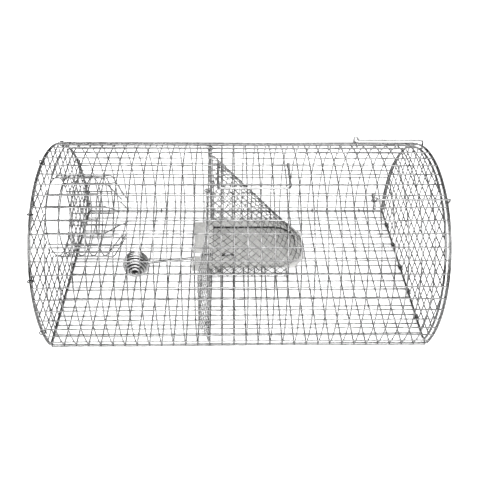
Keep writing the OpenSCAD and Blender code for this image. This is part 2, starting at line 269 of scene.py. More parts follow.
# Floor and surrounding light; lamps have a place, a target, width and length, and watts
FLOOR_HALF_M = 6.0
FLOOR_DROP_M = 0.0005
FLOOR_GREY = (0.93, 0.93, 0.935, 1)
FLOOR_GLOW = 0.36
WORLD_LIGHT = 0.12
LAMPS = {
    "overhead": ((0.05, 0.1, 1.7), (0.05, 0.1, 0), 1.1, 2.4, 30),
    "front": ((0, -1.3, 1.25), (0, 0, 0.05), 2.8, 1.1, 70),
    "back": ((0, 1.3, 1.05), (0, 0, 0.05), 0.8, 0.4, 4),
}

random = np.random.default_rng(11)


def unit(v):
    """Vectors of length 1."""
    return v / np.linalg.norm(v, axis=-1, keepdims=True)


def bead_shape():
    """Points and faces of a small ball."""
    bm = bmesh.new()
    bmesh.ops.create_icosphere(bm, subdivisions=1, radius=1)
    points = np.array([v.co[:] for v in bm.verts])
    faces = np.array([[v.index for v in f.verts] for f in bm.faces])
    bm.free()
    return points, faces


BEAD_POINTS, BEAD_FACES = bead_shape()


class Wirework:
    """Gathers tubes, beads and plates into one mesh; slot is the material of what comes next."""

    def __init__(self):
        self.points = []
        self.faces = []
        self.count = 0
        self.slot = 0
        self.slots = []

    def add(self, points, faces):
        for f in faces:
            self.faces.append([self.count + k for k in f])
        self.slots += [self.slot] * len(faces)
        self.points.append(points)
        self.count += len(points)

    def tube(self, path, radius, normal=None, closed=False, sides=8):
        """Round wire along a path; its ends are cut square with a rounded rim."""
        path = np.asarray(path, float)
        if closed:
            size = np.full(len(path), radius)
            along = unit(np.roll(path, -1, 0) - np.roll(path, 1, 0))
        else:
            first = path[0] + unit(path[1] - path[0]) * 0.4 * radius
            last = path[-1] + unit(path[-2] - path[-1]) * 0.4 * radius
            path = np.vstack([path[:1], first, path[1:-1], last, path[-1:]])
            size = np.full(len(path), radius)
            size[0] = size[-1] = 0.7 * radius
            along = unit(np.gradient(path, axis=0))
            if np.ndim(normal) == 2:
                normal = np.vstack([normal[:1], normal, normal[-1:]])
        if normal is None:
            normal = carried_normal(along)
        normal = unit(normal - along * np.sum(normal * along, axis=-1, keepdims=True))
        side = np.cross(along, normal)
        turn = np.arange(sides) * 2 * math.pi / sides
        rings = path[:, None] + size[:, None, None] * (
            np.cos(turn)[None, :, None] * normal[:, None]
            + np.sin(turn)[None, :, None] * side[:, None]
        )
        n = len(path)
        i = np.arange(n if closed else n - 1)[:, None] * sides
        j = (i + sides) % (n * sides)
        k = np.arange(sides)[None]
        k2 = (k + 1) % sides
        quads = np.stack([i + k, i + k2, j + k2, j + k], -1).reshape(-1, 4).tolist()
        if not closed:
            quads.append(list(range(sides - 1, -1, -1)))
            quads.append(list(range((n - 1) * sides, n * sides)))
        self.add(rings.reshape(-1, 3), quads)

    def ribbon(self, path, thickness, low, high):
        """Upright strip of sheet along a level path."""
        path = np.asarray(path, float)
        across = unit(np.gradient(path, axis=0)) @ np.array([[0.0, 1.0], [-1.0, 0.0]])
        sides = [path + across * thickness / 2, path - across * thickness / 2]
        corners = [(sides[0], low), (sides[0], high), (sides[1], high), (sides[1], low)]
        points = np.stack([np.column_stack([p, np.full(len(p), z)]) for p, z in corners], 1)
        n = len(path)
        quads = [
            [4 * i + k, 4 * i + (k + 1) % 4, 4 * i + 4 + (k + 1) % 4, 4 * i + 4 + k]
            for i in range(n - 1) for k in range(4)
        ]
        ends = [[3, 2, 1, 0], [4 * n - 4, 4 * n - 3, 4 * n - 2, 4 * n - 1]]
        self.add(points.reshape(-1, 3), quads + ends)

    def welds(self, centres, normals, along):
        """Weld nuggets, flat along their normals."""
        across = np.cross(normals, along)
        p = BEAD_POINTS
        for c, n, b in zip(centres, normals, across):
            flat = WELD_SPREAD * (p[:, :1] * along + p[:, 1:2] * b)
            self.add(c + flat + WELD_HEIGHT * p[:, 2:] * n, BEAD_FACES)

    def plate(self, loops, thickness, origin, u, v, bevel=0.15):
        """Flat plate with bevelled edges: loops of points along u and v, centred on origin."""
        curve = bpy.data.curves.new("plate", "CURVE")
        curve.dimensions = "2D"
        curve.fill_mode = "BOTH"
        curve.extrude = thickness / 2 - bevel
        curve.bevel_depth = bevel
        curve.offset = -bevel
        curve.bevel_resolution = 1
        for loop in loops:
            spline = curve.splines.new("POLY")
            spline.points.add(len(loop) - 1)
            spline.points.foreach_set("co", [c for x, y in loop for c in (x, y, 0, 1)])
            spline.use_cyclic_u = True
        holder = bpy.data.objects.new("plate", curve)
        bpy.context.scene.collection.objects.link(holder)
        shape = bpy.data.meshes.new_from_object(
            holder.evaluated_get(bpy.context.evaluated_depsgraph_get())
        )
        bm = bmesh.new()
        bm.from_mesh(shape)
        bmesh.ops.remove_doubles(bm, verts=bm.verts, dist=0.001)
        bmesh.ops.recalc_face_normals(bm, faces=bm.faces)
        bm.verts.index_update()
        local = np.array([p.co[:] for p in bm.verts])
        w = np.cross(u, v)
        points = np.asarray(origin) + local[:, :1] * u + local[:, 1:2] * v + local[:, 2:] * w
        self.add(points, [[p.index for p in f.verts] for f in bm.faces])
        bm.free()
        bpy.data.objects.remove(holder)
        bpy.data.curves.remove(curve)
        bpy.data.meshes.remove(shape)


def carried_normal(along):
    """A normal for each step of a path, carried along it with no twist."""
    start = Z_AXIS if abs(along[0][2]) < 0.9 else X_AXIS
    normals = [unit(start - along[0] * np.dot(start, along[0]))]
    for t in along[1:]:
        n = normals[-1] - t * np.dot(normals[-1], t)
        normals.append(n / np.linalg.norm(n))
    return np.array(normals)


def make_piece(node, work):
    """Turns gathered wirework into the piece that stands for a CAD node."""
    mesh = bpy.data.meshes.new(node + "_detail")
    mesh.from_pydata((np.vstack(work.points) * MM).tolist(), [], work.faces)
    mesh.shade_smooth()
    mesh.set_sharp_from_angle(angle=math.radians(45))
    mesh.materials.append(MATERIALS[SLOT_OF[node]])
    # Second slot: the near-black painted shade
    mesh.materials.append(MATERIALS["painted_shade"])
    mesh.polygons.foreach_set("material_index", work.slots)
    piece = bpy.data.objects.new(node + "_detail", mesh)
    bpy.context.scene.collection.objects.link(piece)
    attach(piece, BODY_OF[node])
    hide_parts(node)


# ---------------------------------------------------------------- materials


def shader_nodes(name):
    """A new material's nodes, its link function and its main shader."""
    material = bpy.data.materials.new(name)
    material.use_nodes = True
    nodes = material.node_tree.nodes
    return material, nodes, material.node_tree.links.new, nodes["Principled BSDF"]


def noise(nodes, link, coords, size_mm, detail=3.0, stretch=None):
    """Noise with features of about size_mm, in the object's own space."""
    texture = nodes.new("ShaderNodeTexNoise")
    texture.inputs["Scale"].default_value = 1 / (size_mm * MM)
    texture.inputs["Detail"].default_value = detail
    if stretch:
        mapping = nodes.new("ShaderNodeMapping")
        mapping.inputs["Rotation"].default_value = (0, 0, math.radians(stretch[0]))
        mapping.inputs["Scale"].default_value = (1, stretch[1], 1)
        link(coords, mapping.inputs["Vector"])
        coords = mapping.outputs["Vector"]
    link(coords, texture.inputs["Vector"])
    return texture.outputs["Fac"]


def ramp(nodes, link, factor, stops):
    """Colours or greys spread over a factor."""
    node = nodes.new("ShaderNodeValToRGB")
    while len(node.color_ramp.elements) < len(stops):
        node.color_ramp.elements.new(0.5)
    for element, (place, colour) in zip(node.color_ramp.elements, stops):
        element.position = place
        element.color = (*colour, 1)
    link(factor, node.inputs["Fac"])
    return node.outputs["Color"]


def mixed(nodes, link, kind, factor, a, b):
    """Blend of two colours."""
    node = nodes.new("ShaderNodeMix")
    node.data_type = "RGBA"
    node.blend_type = kind
    node.inputs["Factor"].default_value = factor
    link(a, node.inputs[6])
    link(b, node.inputs[7])
    return node.outputs[2]


def grey(value, tint=(1.0, 1.0, 1.0)):
    """A grey, with a slight tint."""
    return tuple(value * t for t in tint)


def zinc(name, dark, light, metallic, roughness, grain_mm, bump_mm, spangle_mm=0, tint=(1, 1, 1)):
    """Galvanised steel: mottled between two greys, uneven gloss and a slightly rough skin.

    Sheet also has crystals of spangle_mm and slanting scratches.
    """
    material, nodes, link, shader = shader_nodes(name)
    coords = nodes.new("ShaderNodeTexCoord").outputs["Object"]
    patches = noise(nodes, link, coords, grain_mm * 6)
    speckle = noise(nodes, link, coords, grain_mm, 4.0)
    colour = ramp(nodes, link, patches, [(0.3, grey(dark, tint)), (0.7, grey(light, tint))])
    fine = ramp(nodes, link, speckle, [(0.3, grey(0.72)), (0.65, grey(1.0))])
    colour = mixed(nodes, link, "MULTIPLY", 0.6, colour, fine)
    if spangle_mm:
        cells = nodes.new("ShaderNodeTexVoronoi")
        cells.inputs["Scale"].default_value = 1 / (spangle_mm * MM)
        link(coords, cells.inputs["Vector"])
        split = nodes.new("ShaderNodeSeparateColor")
        link(cells.outputs["Color"], split.inputs["Color"])
        crystal = ramp(nodes, link, split.outputs["Red"], [(0.0, grey(0.82)), (1.0, grey(1.12))])
        colour = mixed(nodes, link, "MULTIPLY", 0.8, colour, crystal)
        scratch = noise(nodes, link, coords, 5.0, 5.0, (48, 9.0))
        stops = [(0.52, grey(1.0)), (0.62, grey(1.35)), (0.72, grey(0.95))]
        lines = ramp(nodes, link, scratch, stops)
        colour = mixed(nodes, link, "MULTIPLY", 0.5, colour, lines)
    link(colour, shader.inputs["Base Color"])
    gloss = nodes.new("ShaderNodeMapRange")
    gloss.inputs["From Min"].default_value = 0.3
    gloss.inputs["From Max"].default_value = 0.7
    gloss.inputs["To Min"].default_value = roughness - 0.08
    gloss.inputs["To Max"].default_value = roughness + 0.12
    link(patches, gloss.inputs["Value"])
    link(gloss.outputs["Result"], shader.inputs["Roughness"])
    bump = nodes.new("ShaderNodeBump")
    bump.inputs["Distance"].default_value = bump_mm * MM
    bump.inputs["Strength"].default_value = 0.6
    link(speckle, bump.inputs["Height"])
    link(bump.outputs["Normal"], shader.inputs["Normal"])
    shader.inputs["Metallic"].default_value = metallic
    return material


# Darkest and lightest grey, metallic, roughness, grain and bump in millimetres
MATERIALS = {
    "mesh_wire": zinc("mesh_wire_zinc", 0.12, 0.26, 1.0, 0.22, 0.7, 0.06),
    "rim_wire": zinc("rim_wire_zinc", 0.075, 0.17, 1.0, 0.24, 0.9, 0.08),
    "clip_wire": zinc("clip_wire_steel", 0.05, 0.12, 1.0, 0.26, 0.6, 0.04),
    "fine_mesh": zinc("fine_mesh_zinc", 0.11, 0.23, 1.0, 0.24, 0.5, 0.04),
    "zinc_sheet": zinc("zinc_sheet", 0.4, 0.52, 0.35, 0.5, 0.8, 0.05, 4.5, (1.0, 0.995, 0.97)),
    "rod_wire": zinc("rod_wire_steel", 0.2, 0.36, 1.0, 0.2, 0.8, 0.05),
    "weight_wire": zinc("weight_wire_steel", 0.34, 0.52, 1.0, 0.26, 0.9, 0.08),
    # Near-black painted shade: it stands for the shadow seen through the gap round the treadle and
    # between the coil's turns
    "painted_shade": zinc("painted_shade_black", 0.006, 0.014, 0.1, 0.6, 0.6, 0.05),
}


# ---------------------------------------------------------------- welded mesh


def hoop_x(i):
    """Place of hoop i along the cage."""
    return (i - CELLS_LONG / 2) * PITCH


def looseness(x, angle):
    """How far the mesh may sway: nothing at the cage's ends and where pieces turn on it."""
    free = 1 - np.abs(x / HALF_LONG) ** 8
    for spot_x, spot_angle in CALM_SPOTS:
        apart = ((x - spot_x) ** 2 + ((angle - spot_angle) * DOME_R) ** 2) / CALM_REACH**2
        free = free * (1 - np.exp(-apart))
    return SWAY * np.clip(free, 0, 1)


def dome_point(x, angle, radius):
    """Points of the dome's mesh, with the slight unevenness of a cage bent by hand."""
    x, angle = np.broadcast_arrays(np.asarray(x, float), np.asarray(angle, float))
    loose = looseness(x, angle)
    moved_x = x + loose * np.sin(0.9 * x + 3 * angle)
    moved_angle = angle + loose / DOME_R * np.sin(x / 60 + 40 * angle)
    moved_r = radius - loose * (1 + np.sin(x / 37 + 1) * np.sin(2.3 * angle))
    return np.stack(
        [moved_x, moved_r * np.sin(moved_angle), DOME_Z + moved_r * np.cos(moved_angle)], -1
    )


def base_point(x, y, z):
    """Points of the base's mesh, uneven in its own plane."""
    x, y = np.broadcast_arrays(np.asarray(x, float), np.asarray(y, float))
    loose = looseness(x, math.pi)
    moved_x = x + loose * np.sin(0.8 * x + y / 45)
    moved_y = y + loose * np.sin(0.7 * y + x / 55)
    return np.stack([moved_x, moved_y, np.full(x.shape, z)], -1)


def line_stations():
    """Places along a line wire, from end to end."""
    inner = np.arange(-CELLS_LONG * 2, CELLS_LONG * 2 + 1) * PITCH / 4
    return np.concatenate([[-LINE_HALF], inner, [LINE_HALF]])


def dome_line_wires(work):
    for i in range(DOME_CELLS + 1):
        angle = (i - DOME_CELLS / 2) * DOME_STEP
        normal = np.array([0, math.sin(angle), math.cos(angle)])
        work.tube(dome_point(line_stations(), angle, LINE_R), WIRE_R, normal)


def dome_hoops(work):
    angles = np.linspace(-DOME_HALF, DOME_HALF, DOME_CELLS * 4 + 1)
    cells = (np.arange(DOME_CELLS + 1) - DOME_CELLS / 2) * DOME_STEP
    up = np.stack([0 * cells, np.sin(cells), np.cos(cells)], -1)
    for i in range(CELLS_LONG + 1):
        work.tube(dome_point(hoop_x(i), angles, DOME_R), WIRE_R, X_AXIS)
        work.welds(dome_point(hoop_x(i), cells, DOME_R + LAYER / 2), up, X_AXIS)


BASE_LINES_Y = (np.arange(BASE_LINES) - (BASE_LINES - 1) / 2) * PITCH


def base_line_wires(work):
    for y in BASE_LINES_Y:
        work.tube(base_point(line_stations(), y, WIRE_R), WIRE_R, Z_AXIS)


def base_cross_wires(work):
    half = box_mm("base_cross_wires")[1][1]
    y = np.linspace(-half, half, 69)
    up = np.tile(Z_AXIS, (len(BASE_LINES_Y), 1))
    for i in range(CELLS_LONG + 1):
        work.tube(base_point(hoop_x(i), y, CROSS_Z), WIRE_R, Z_AXIS)
        work.welds(base_point(hoop_x(i), BASE_LINES_Y, WIRE_R + LAYER / 2), up, X_AXIS)


def chord(radius, d):
    """Half the length of a circle's chord at distance d, or nothing outside the circle."""
    return math.sqrt(max(0.0, radius * radius - d * d))


def panel_wires(work, x_upright, x_level, reach, foot, level_foot, hole, seed):
    """Square mesh inside a D-shaped frame, open where a round hole is."""
    wobble = np.random.default_rng(seed)

    def wire(start, end):
        steps = max(3, int(np.linalg.norm(end - start) / PANEL_STEP))
        t = np.linspace(0, 1, steps)[:, None]
        sag = PANEL_SAG * np.sin(math.pi * t) * wobble.uniform(-1, 1)
        across = np.cross(unit(end - start), X_AXIS)
        work.tube(start + (end - start) * t + across * sag, WIRE_R, X_AXIS)

    for y in BASE_LINES_Y:
        top = DOME_Z + chord(reach, y)
        low = foot if abs(y) < PANEL_CORNER_Y else foot + 2 * CORNER_R
        gap = chord(hole, y)
        if gap > 0:
            wire(np.array([x_upright, y, low]), np.array([x_upright, y, FUNNEL_Z - gap]))
            wire(np.array([x_upright, y, FUNNEL_Z + gap]), np.array([x_upright, y, top]))
        else:
            wire(np.array([x_upright, y, low]), np.array([x_upright, y, top]))
    for i in range(1, PANEL_ROWS + 1):
        z = level_foot + i * PITCH
        half = chord(reach, z - DOME_Z)
        gap = chord(hole, z - FUNNEL_Z)
        if gap > 0:
            wire(np.array([x_level, gap, z]), np.array([x_level, half, z]))
            wire(np.array([x_level, -half, z]), np.array([x_level, -gap, z]))
        else:
            wire(np.array([x_level, -half, z]), np.array([x_level, half, z]))
        for y in BASE_LINES_Y:
            above_corner = abs(y) < PANEL_CORNER_Y or z > foot + 2 * CORNER_R
            in_panel = math.hypot(y, z - DOME_Z) < reach and above_corner
            if in_panel and math.hypot(y, z - FUNNEL_Z) > hole:
                centre = np.array([[(x_upright + x_level) / 2, y, z]])
                work.welds(centre, X_AXIS[None], Z_AXIS)


def entrance_mesh(work):
    foot = 2 * RIM_R
    panel_wires(work, RIM_X, RIM_X + LAYER, DOME_R - RIM_R, foot, foot + PLAY, HOLE_R, 3)


def door_mesh(work):
    foot = DOOR_Z + DOOR_WIRE_R
    panel_wires(work, DOOR_X, DOOR_X + LAYER, DOOR_R - DOOR_WIRE_R, foot, DOOR_Z, 0, 5)


# ---------------------------------------------------------------- rims, rings and clips


def ring_path(centre, radius, u, v, start, end, lead=0.0, step=15.0):
    """Points round a centre from u towards v, angles in degrees, with a sideways lead."""
    count = max(3, int(abs(end - start) / step) + 1)
    t = np.linspace(0, 1, count)
    a = np.radians(start + (end - start) * t)[:, None]
    side = np.cross(u, v) * lead
    return np.asarray(centre) + radius * (np.cos(a) * u + np.sin(a) * v) + side * (t[:, None] - 0.5)


def d_path(x, radius, foot_z):
    """Closed D-shaped path: the dome's arc, round corners and a flat foot."""
    dz = foot_z + CORNER_R - DOME_Z
    y = math.sqrt((radius - CORNER_R) ** 2 - dz * dz)
    end = math.degrees(math.atan2(y, dz))
    top = ring_path([x, 0, DOME_Z], radius, Z_AXIS, Y_AXIS, -end, end, 0, 2.0)
    corner = ring_path([x, y, foot_z + CORNER_R], CORNER_R, Z_AXIS, Y_AXIS, end, 180, 0, 8.0)[1:]
    foot = np.linspace([x, y, foot_z], [x, -y, foot_z], 40)[1:-1]
    return np.vstack([top, corner, foot, (corner * [1, -1, 1])[::-1]])


def entrance_rim(work):
    path = d_path(RIM_X, DOME_R, RIM_R + RIM_LIFT)
    work.tube(path, RIM_R, X_AXIS, closed=True, sides=10)


def door_end_rim(work):
    path = ring_path([-RIM_X, 0, DOME_Z], DOME_R, Z_AXIS, Y_AXIS, -RIM_REACH, RIM_REACH, 0, 1.5)
    work.tube(path, RIM_R, X_AXIS, sides=10)


def door_frame(work):
    path = d_path(DOOR_X, DOOR_R, DOOR_Z)
    work.tube(path, DOOR_WIRE_R, X_AXIS, closed=True, sides=12)


def radial(angle):
    """Direction out of the dome at an angle from its top."""
    return np.array([0, math.sin(angle), math.cos(angle)])


def dome_ring(work, x, angle, radius, ring_r, wire_r):
    """Ring clip in the plane of the cage's length and the dome's radius."""
    centre = np.array([x, 0, DOME_Z]) + radial(angle) * radius
    start = random.uniform(0, 360)
    path = ring_path(centre, ring_r, X_AXIS, radial(angle), start, start + 352, 0.9 * wire_r)
    work.tube(path, wire_r, np.cross(X_AXIS, radial(angle)), sides=8)


def entrance_clips(work):
    x = box_mm("entrance_clips")[0][0] + CLIP_RING_R + CLIP_R
    for cell in ENTRANCE_CELLS:
        dome_ring(work, x, cell * DOME_STEP, DOME_R, CLIP_RING_R, CLIP_R)


def partition_ties(work):
    for cell in TIE_CELLS:
        angle = cell * DOME_STEP
        dome_ring(work, PARTITION_X + TIE_SHIFT, angle, DOME_R - TIE_DROP, TIE_RING_R, TIE_R)


def base_clips(work):
    y = DOME_R * math.sin(DOME_HALF)
    for cell in BASE_CLIP_CELLS:
        centre = np.array([cell * PITCH, y, WIRE_R + CLIP_R])
        work.tube(ring_path(centre, CLIP_RING_R, Z_AXIS, Y_AXIS, -105, 105), CLIP_R, X_AXIS)


def door_hinge_links(work):
    """Each link is a belt of wire turns round the hinge wire and the door's frame."""
    hinge = np.array([HALF_LONG, 0, CROSS_Z])
    frame_wire = np.array([DOOR_X, 0, DOOR_Z])
    up = unit(frame_wire - hinge)
    out = np.cross(Y_AXIS, up)
    low_r = WIRE_R + LINK_R + PLAY
    high_r = DOOR_WIRE_R + LINK_R
    for i in range(LINK_COUNT):
        y = (i - (LINK_COUNT - 1) / 2) * 3 * PITCH
        for k in range(LINK_TURNS):
            shift = Y_AXIS * (y + (k - (LINK_TURNS - 1) / 2) * LINK_TURN_STEP)
            high = ring_path(frame_wire + shift, high_r, out, up, -8, 188, 0, 20)
            low = ring_path(hinge + shift, low_r, out, up, 188, 352, 0, 20)
            work.tube(np.vstack([high, low]), LINK_R, Y_AXIS, closed=True)


# ---------------------------------------------------------------- funnel


def funnel_spot(i, x, radius):
    """Points on the funnel's tube along wire i."""
    a = i * 2 * math.pi / FUNNEL_COUNT
    x = np.asarray(x, float)
    return np.stack([x, 0 * x + radius * math.sin(a), FUNNEL_Z + radius * math.cos(a) + 0 * x], -1)


def funnel_normal(i):
    """Direction out of the funnel's tube at wire i."""
    return radial(i * 2 * math.pi / FUNNEL_COUNT)


def funnel_rings(work):
    for i in range(FUNNEL_CELLS + 1):
        ring = ring_path([hoop_x(i), 0, FUNNEL_Z], FUNNEL_R, Z_AXIS, Y_AXIS, 0, 355, 0, 5)
        work.tube(ring, WIRE_R, X_AXIS, closed=True)
        for k in range(FUNNEL_COUNT):
            spot = funnel_spot(k, [hoop_x(i)], FUNNEL_R + LAYER / 2)
            work.welds(spot, funnel_normal(k)[None], X_AXIS)


def bent_path(steps, start_heading=0.0, bend_step=12.0):
    """Wire bent in a plane: each step is a straight run, a turn in degrees and its radius."""
    points = [np.zeros(2)]
    heading = math.radians(start_heading)
    for run, turn, bend in steps:
        ahead = np.array([math.cos(heading), math.sin(heading)])
        count = max(1, int(run / 6))
        for k in range(1, count + 1):
            points.append(points[-1] + ahead * run / count)
        if turn:
            side = math.copysign(1, turn)
            pivot = points[-1] + bend * side * np.array([-ahead[1], ahead[0]])
            count = max(2, int(abs(turn) / bend_step))
            for k in range(1, count + 1):
                a = heading + math.radians(turn) * k / count
                points.append(pivot - bend * side * np.array([-math.sin(a), math.cos(a)]))
            heading += math.radians(turn)
    return np.array(points)


def funnel_wires(work):
    x = np.linspace(RIM_X, hoop_x(FUNNEL_CELLS) + 1, 14)
    for i in range(1, FUNNEL_COUNT, 2):
        work.tube(funnel_spot(i, x, FUNNEL_R + LAYER), WIRE_R, funnel_normal(i))


def funnel_fingers(work):
    """Every second wire runs on past the tube, bends out a little and then inwards."""
    run = hoop_x(FUNNEL_CELLS) - RIM_X
    for i in range(0, FUNNEL_COUNT, 2):
        tip = FINGER_TIP - random.uniform(0, 1.5)
        flat = bent_path([(run, 10, 8), (3, -70 + random.uniform(-2, 2), 5), (tip, 0, 0)])
        out = funnel_normal(i)
        axis = np.array([RIM_X, 0, FUNNEL_Z])
        path = axis + flat[:, :1] * X_AXIS + (FUNNEL_R + LAYER + flat[:, 1:]) * out
        work.tube(path, WIRE_R, np.cross(X_AXIS, out))


# ---------------------------------------------------------------- fine mesh


def woven(work, place, inside, u_range, v_range, turn=45, cell=FINE_CELL):
    """Fine wires woven over and under, turned from the u direction, kept where inside() says.

    place() gives points and normals of the surface, and two families of wires cross on it.
    """
    corner = [(u, v) for u in u_range for v in v_range]
    for family in (0, 1):
        sign = 1 - 2 * family
        heading = math.radians(turn - 90 * family)
        along = np.array([math.cos(heading), math.sin(heading)])
        across = np.array([-along[1], along[0]])
        reach = [np.dot(c, along) for c in corner]
        width = [np.dot(c, across) for c in corner]
        first, last = math.floor(min(reach) / cell), math.ceil(max(reach) / cell)
        s = np.arange(first * 4, last * 4 + 1) * cell / 4
        for k in range(math.floor(min(width) / cell), math.ceil(max(width) / cell) + 1):
            flat = s[:, None] * along + k * cell * across
            lift = 0.95 * FINE_R * sign * (-1) ** k * np.cos(math.pi * s / cell)
            kept = inside(flat[:, 0], flat[:, 1])
            edges = np.flatnonzero(np.diff(np.concatenate([[0], kept.astype(int), [0]])))
            for a, b in zip(edges[::2], edges[1::2]):
                if b - a >= 3:
                    points, normals = place(flat[a:b, 0], flat[a:b, 1])
                    points = points + normals * lift[a:b, None]
                    work.tube(points, FINE_R, normals, sides=FINE_SIDES)


HOOD_DOWN = unit(np.array([1.0, 0.0, -HOOD_SLOPE]))
HOOD_OUT = unit(np.array([HOOD_SLOPE, 0.0, 1.0]))
HOOD_FOOT = np.array([HOOD_END, 0.0, HOOD_Z])


def hood_place(t, w):
    """Point and normal of the hood: t runs down its slope, w runs round it from the ridge."""
    quarter = HOOD_R * math.pi / 2
    a = np.clip(w, -quarter, quarter) / HOOD_R
    wall = np.abs(w) - np.minimum(np.abs(w), quarter)
    fall = HOOD_R * (1 - np.cos(a)) + wall
    normal = np.cos(a)[:, None] * HOOD_OUT + np.sin(a)[:, None] * Y_AXIS
    side = (HOOD_R * np.sin(a))[:, None] * Y_AXIS
    return HOOD_FOOT + t[:, None] * HOOD_DOWN - fall[:, None] * HOOD_OUT + side, normal


def hood_inside(t, w):
    """The hood stands on the platform, between the partition and the dome."""
    x, y, z = hood_place(t, w)[0].T
    below_dome = np.hypot(y, z - DOME_Z) < HOOD_UNDER_DOME
    return (z > HOOD_Z + FINE_R) & (x > PARTITION_X + HOOD_GAP) & below_dome


def shelf_place(u, v):
    """Shelf along the hood's front foot, folded down at its edge: v runs outward and then down."""
    over = v > 0
    top = HOOD_Z + 2 * FINE_R
    y = -np.where(over, SHELF_OUT, SHELF_OUT + v)
    z = np.where(over, top - v, top)
    return np.stack([u, y, z], -1), np.where(over[:, None], -Y_AXIS, Z_AXIS)


def shelf_inside(u, v):
    along = (u > PARTITION_X + HOOD_GAP) & (u < LIP_X[1] - FINE_R)
    return along & (v > SHELF_IN - SHELF_OUT) & (v < SHELF_FOLD)


def hood_mesh(work):
    """Sloping tunnel, its front shelf and the hem wire along the shelf's folded edge."""
    woven(work, hood_place, hood_inside, HOOD_T_RANGE, HOOD_W_RANGE, 0)
    woven(work, shelf_place, shelf_inside, SHELF_X_RANGE, SHELF_V_RANGE)
    hem = np.linspace([PARTITION_X + 1, 0, 0], [LIP_X[1], 0, 0], 24)
    work.tube(hem + [0, -SHELF_OUT, HOOD_Z - SHELF_FOLD], FINE_R, Y_AXIS, sides=FINE_SIDES)


def smooth_step(t):
    """Eased rise from 0 to 1."""
    t = np.clip(t, 0, 1)
    return t * t * (3 - 2 * t)


def partition_bow(y, z):
    """How far the partition's front half bulges towards the entrance, away from its edges."""
    sideways = smooth_step((BOW_Y - y) / BOW_EASE_Y)
    upright = smooth_step(z / BOW_EASE_Z) * smooth_step((BOW_TOP - z) / BOW_EASE_Z)
    return BOW * sideways * upright


def partition_place(y, z):
    normal = np.tile(X_AXIS, (len(y), 1))
    return np.stack([PARTITION_X - partition_bow(y, z), y, z], -1), normal


def partition_inside(y, z):
    """The partition fills the cage but for the treadle's throat and the hood's mouth."""
    kept = (np.hypot(y, z - DOME_Z) < PARTITION_TOP_R) & (z > PARTITION_LOW)
    throat = (np.abs(y) < THROAT_HALF) & (z > THROAT_Z) & (z < HOOD_Z)
    rise = HOOD_SLOPE * (HOOD_END - PARTITION_X)
    slant = math.hypot(1, HOOD_SLOPE)
    drop = HOOD_R - np.sqrt(np.clip(HOOD_R**2 - y**2, 0, None))
    arch = HOOD_Z + np.minimum(HOOD_H, rise - slant * drop)
    mouth = (np.abs(y) < HOOD_R - 1) & (z >= HOOD_Z) & (z < arch)
    return kept & ~throat & ~mouth


def partition_mesh(work):
    spans = PARTITION_Y_RANGE, PARTITION_Z_RANGE
    woven(work, partition_place, partition_inside, *spans, 45, PARTITION_CELL)


# ---------------------------------------------------------------- platform and treadle


def corner_arc(cx, cy, radius, start, end, step=7.5):
    """Points of an arc in a plate's outline, angles in degrees."""
    count = int(abs(end - start) / step) + 1
    angles = np.radians(np.linspace(start, end, count))
    return [(cx + radius * math.cos(a), cy + radius * math.sin(a)) for a in angles]


def treadle_tip(grow):
    """The two rounded corners of the treadle's outline, from front to back."""
    c = TREADLE_HALF - TIP_R
    x = TIP_X - TIP_R
    return corner_arc(x, -c, TIP_R + grow, -90, 0) + corner_arc(x, c, TIP_R + grow, 0, 90)


def ear(work, y, gap, high):
    """Lug below a sheet, with a round bore for the axle."""
    low = AXLE_Z - 2 * ROD_R
    half = EAR_W / 2
    outline = [(half, high), (-half, high)]
    corner = EAR_CORNER
    outline += corner_arc(-half + corner, low + corner, corner, 180, 270, 22.5)
    outline += corner_arc(half - corner, low + corner, corner, 270, 360, 22.5)
    bore = corner_arc(0, AXLE_Z, ROD_R + gap, 0, 345, 15)
    work.plate([outline, bore], EAR_T, [AXLE_X, y, 0], X_AXIS, Z_AXIS, EAR_BEVEL)


def platform_frame(work):
    """Sheet round the treadle's opening, a near-black strip of painted shade under the opening's
    far edge, the far side's lip and two ears.
    """
    slot_low, slot_high = ROD_Y - SLOT_HALF, ROD_Y + SLOT_HALF
    start, end = LIP_X
    outline = [
        (APRON_X, slot_low), (APRON_X, -APRON_HALF), (start, -APRON_HALF), (start, -FRONT_HALF),
        (FRAME_FRONT_X, -FRONT_HALF), (FRAME_END, -FRAME_END_HALF), (FRAME_END, FRAME_END_HALF),
        (end, FRAME_HALF), (start, FRAME_HALF), (start, APRON_HALF), (APRON_X, APRON_HALF),
        (APRON_X, slot_high), (OPENING_X, slot_high), (OPENING_X, TREADLE_HALF),
        *treadle_tip(0)[::-1],
        (OPENING_X, -TREADLE_HALF), (OPENING_X, slot_low),
    ]
    middle = [0, 0, SHEET_LOW + SHEET_T / 2]
    work.plate([outline], SHEET_T, middle, X_AXIS, Y_AXIS, SHEET_BEVEL)
    tip = treadle_tip(SHADE_STRIP_OUT)
    straight = [(x, TREADLE_HALF + SHADE_STRIP_OUT) for x in np.linspace(OPENING_X, tip[-1][0], 12)[:-1]]
    # Near-black painted shade: an upright strip along the opening's far edge and tip, standing for
    # the shadow seen through the gap
    work.slot = 1
    work.ribbon(straight + tip[:8:-1], SHADE_STRIP_T, SHEET_LOW - SHADE_STRIP_DROP, SHEET_TOP - 0.02)
    work.slot = 0
    low = SHEET_LOW - LIP_H
    lip = [(start, low), (end, low), (end, SHEET_LOW + 0.3), (start, SHEET_LOW + 0.3)]
    work.plate([lip], SHEET_T, [0, FRAME_HALF - SHEET_T / 2, 0], X_AXIS, Z_AXIS, SHEET_BEVEL)
    ear_y = TREADLE_HALF + FRAME_EAR_SHIFT
    for side in (-1, 1):
        ear(work, side * ear_y, FRAME_EAR_FIT, SHEET_LOW + SHEET_T / 2)


